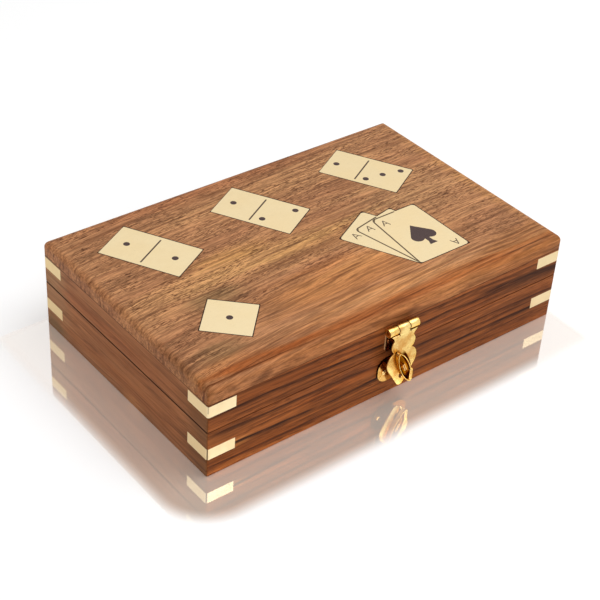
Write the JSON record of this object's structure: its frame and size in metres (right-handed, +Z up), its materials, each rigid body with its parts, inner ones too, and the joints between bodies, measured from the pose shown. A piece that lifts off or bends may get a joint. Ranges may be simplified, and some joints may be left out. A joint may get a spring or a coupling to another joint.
{
  "type": "domino storage box",
  "caption": "Low hinged hardwood games box with brass domino, card and corner inlays, a divided inside for dominoes and cards, and a brass drop-leaf clasp with a turning loop.",
  "frame": {"origin": "centre of the wooden box's footprint, on the surface it stands on", "axes": "+X along the front to the viewer's right, +Y from the front to the back, +Z up"},
  "size_m": [0.2032, 0.1407, 0.0464],
  "materials": {
    "box_wood": "satin oiled hardwood, streaked grain",
    "divider_wood": "plain sanded hardwood",
    "felt": "short nap felt",
    "inlay_brass": "pale brass, sanded flush",
    "dark_filling": "dark wax and glue filling",
    "clasp_brass": "bright polished sheet brass",
    "pin_brass": "polished"
  },
  "bodies": {
    "base": {"base_front_board": "box_wood", "base_back_board": "box_wood", "base_left_board": "box_wood", "base_right_board": "box_wood", "base_floor_panel": "divider_wood", "long_divider": "divider_wood", "short_divider": "divider_wood", "domino_trough_lining": "felt", "card_pocket_left_lining": "felt", "card_pocket_right_lining": "felt", "base_strap_front_left": "inlay_brass", "base_strap_front_right": "inlay_brass", "base_strap_back_left": "inlay_brass", "base_strap_back_right": "inlay_brass", "left_hinge_base_leaf": "clasp_brass", "right_hinge_base_leaf": "clasp_brass", "left_hinge_pin": "pin_brass", "right_hinge_pin": "pin_brass", "hinge_base_screws": "pin_brass", "keeper_plate": "clasp_brass", "keeper_nails": "pin_brass"},
    "lid": {"lid_top_board": "box_wood", "lid_front_board": "box_wood", "lid_back_board": "box_wood", "lid_left_board": "box_wood", "lid_right_board": "box_wood", "lid_lining": "felt", "lid_strap_front_left": "inlay_brass", "lid_strap_front_right": "inlay_brass", "lid_strap_back_left": "inlay_brass", "lid_strap_back_right": "inlay_brass", "domino_inlay_left": "inlay_brass", "domino_inlay_middle": "inlay_brass", "domino_inlay_right": "inlay_brass", "square_inlay": "inlay_brass", "card_fan_inlay": "inlay_brass", "domino_marks": "dark_filling", "square_mark": "dark_filling", "card_lines": "dark_filling", "card_spade": "dark_filling", "card_letters": "dark_filling", "inlay_filler": "dark_filling", "left_hinge_lid_leaf": "clasp_brass", "right_hinge_lid_leaf": "clasp_brass", "hinge_lid_screws": "pin_brass", "hasp_mount_leaf": "clasp_brass", "hasp_mount_nails": "pin_brass", "hasp_pin": "pin_brass"},
    "hasp": {"hasp_drop_leaf": "clasp_brass"},
    "turn": {"turn_loop": "clasp_brass", "turn_shank": "clasp_brass", "turn_tongue": "clasp_brass"}
  },
  "joints": [
    {"name": "lid_hinge", "type": "hinge", "parent": "base", "child": "lid", "pos_m": [0, 0.06655, 0.0242], "axis": [-1, 0, 0], "range_deg": [0, 180]},
    {"name": "hasp_swing", "type": "hinge", "parent": "lid", "child": "hasp", "pos_m": [0, -0.06765, 0.0373], "axis": [-1, 0, 0], "range_deg": [0, 170]},
    {"name": "catch_turn", "type": "hinge", "parent": "hasp", "child": "turn", "pos_m": [0, -0.06965, 0.0177], "axis": [0, -1, 0], "continuous": true}
  ]
}
